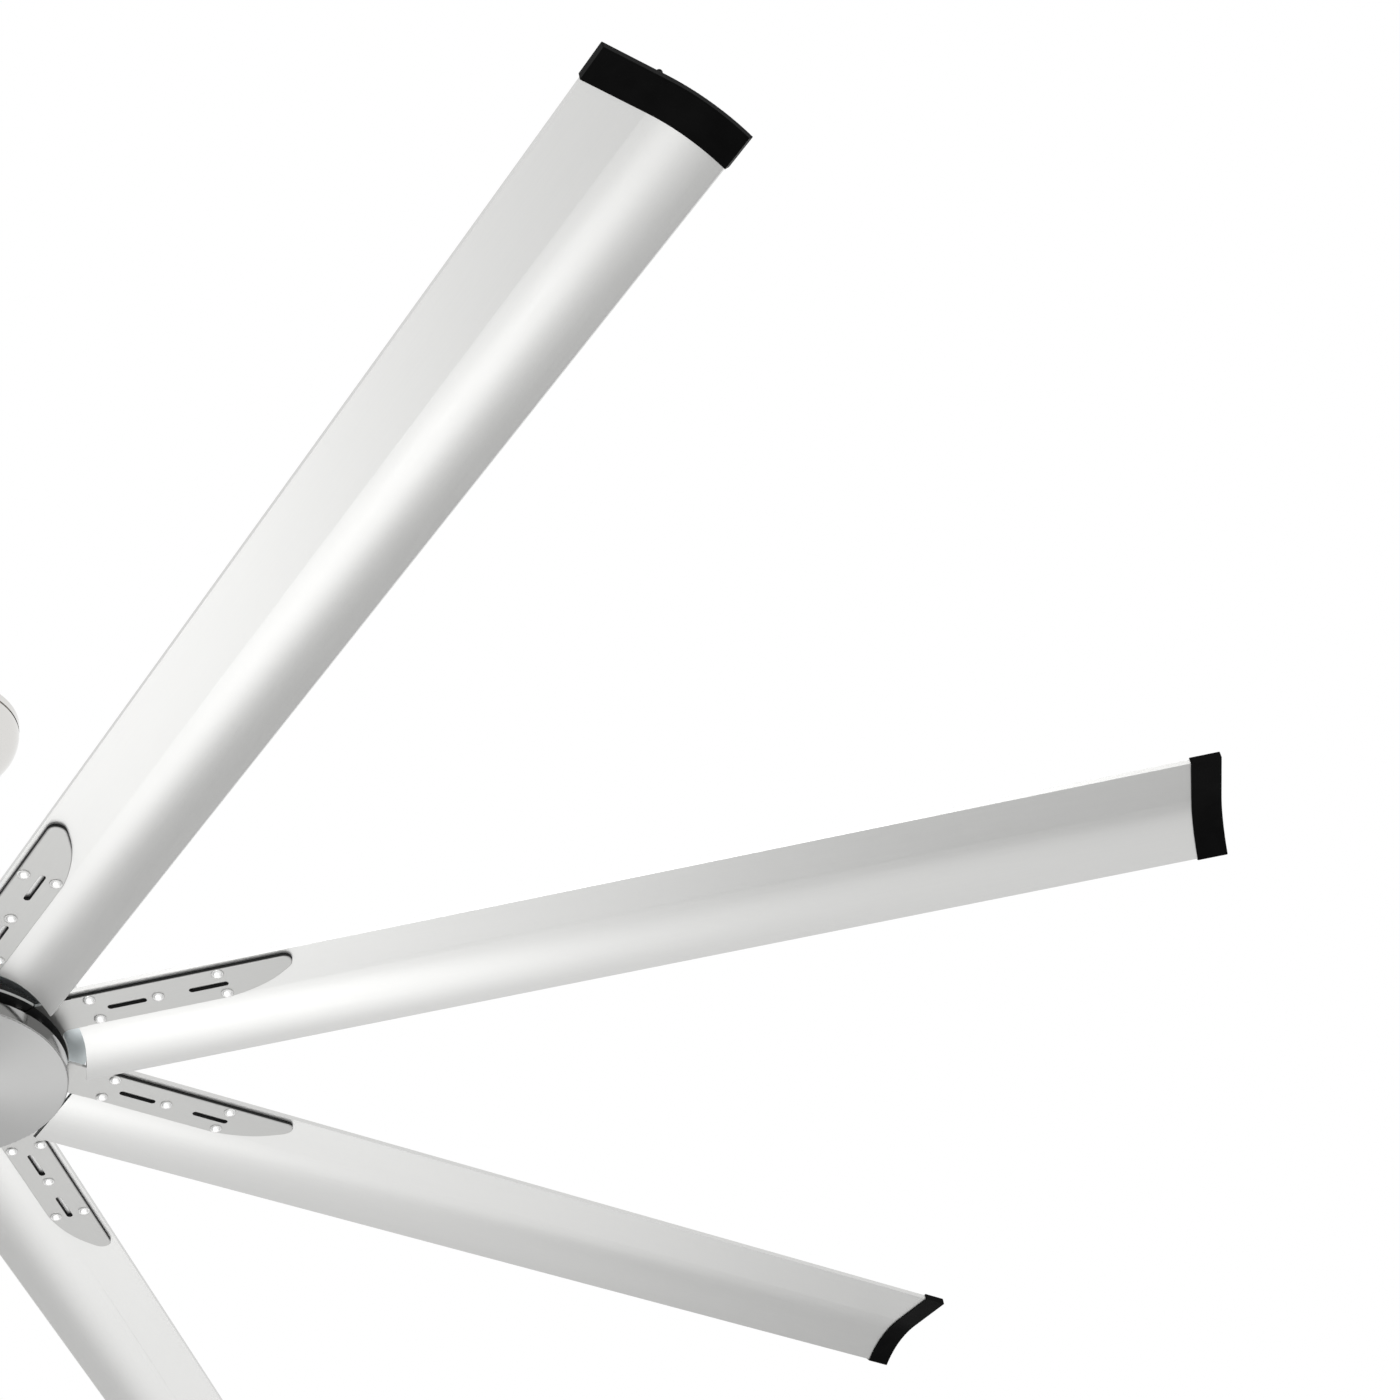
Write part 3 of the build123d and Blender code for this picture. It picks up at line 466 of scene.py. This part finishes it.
# Bottom cap and its support: a shallow cup spun from steel and satin nickel plated, its face brushed
# round and its side smoother. Three small screws hold it to the zinc plated pan that the nut clamps.
support_zinc = Finish("zinc_plated_support", (0.46, 0.46, 0.44), 0.38, 0.9)
plate_zinc(support_zinc)
support_zinc.on("cap_support_plate")
cap_tone = (0.38, 0.38, 0.376)
spun_cap = Finish("spun_satin_cap", cap_tone, 0.3, 1.0, Anisotropic=0.85)
plate_nickel(spun_cap, cap_tone)
cap_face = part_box("bottom_cap")[0][2]
up_side = spun_cap.axis(2).between(cap_face + 0.00005, cap_face + 0.0003)
spun_cap.set("Roughness", up_side * -0.22 + spun_cap.noise(300.0) * 0.06 + 0.32)
spun_cap.on("bottom_cap")
fastener("cap_screw_nickel", 0.6).on("bottom_cap_screws")

# Room: white all round, a pale floor three metres down, and four large soft lamps. Three lie just over
# the floor and light the undersides, and one hangs high behind the camera. The floor is hidden from
# below, so it never hides the fan.
world = bpy.data.worlds.new("white_room")
bpy.context.scene.world = world
world.use_nodes = True
background = world.node_tree.nodes["Background"]
background.inputs["Color"].default_value = (1, 1, 1, 1)
background.inputs["Strength"].default_value = 1.0

floor_drop = 3.0
floor_shape = bmesh.new()
bmesh.ops.create_circle(floor_shape, cap_ends=True, segments=96, radius=12.0)
bmesh.ops.translate(floor_shape, verts=floor_shape.verts, vec=(0, 0, -floor_drop))
floor_mesh = bpy.data.meshes.new("floor")
floor_shape.to_mesh(floor_mesh)
floor_shape.free()
floor = bpy.data.objects.new("floor", floor_mesh)
bpy.context.collection.objects.link(floor)
floor_finish = Finish("pale_floor", (0.45, 0.45, 0.45), 0.9)
glow = floor_finish.node("Emission", Color=(1, 1, 1, 1), Strength=1.0)
clear = floor_finish.node("BsdfTransparent")
diffuse = Value(floor_finish.tree, floor_finish.shader.outputs[0])
fade_start = 3.0
fade_end = 9.0
fade = floor_finish.reach().between(fade_start, fade_end)
far = floor_finish.node("MixShader", Fac=fade, i1=diffuse, i2=glow)
behind = floor_finish.node("NewGeometry", output=6)
shown = floor_finish.node("MixShader", Fac=behind, i1=far, i2=clear)
surface = floor_finish.tree.nodes["Material Output"].inputs["Surface"]
floor_finish.tree.links.new(shown.socket, surface)
floor_mesh.materials.append(floor_finish.material)


def lamp(name, place, target, width, height, watts, shape="ELLIPSE"):
    made = bpy.data.lights.new(name, "AREA")
    made.shape = shape
    made.size = width
    made.size_y = height
    made.energy = watts
    holder = bpy.data.objects.new(name, made)
    holder.location = place
    aim = Vector(target) - Vector(place)
    holder.rotation_euler = aim.to_track_quat("-Z", "Y").to_euler()
    holder.visible_camera = False
    bpy.context.collection.objects.link(holder)


lamp("floor_lamp", (-0.1, 1.3, -2.9), (-0.1, 1.3, 0), 1.4, 3.0, 13)
lamp("far_floor_lamp", (0.6, 4.0, -2.93), (0.6, 4.0, 0), 3.0, 4.4, 22)
lamp("wide_floor_lamp", (0.6, -0.6, -2.95), (0.6, -0.6, 0), 4.2, 5.4, 26)
lamp("high_lamp", (-1.5, -4.5, 3.5), (0, 0, -0.4), 3, 3, 60)
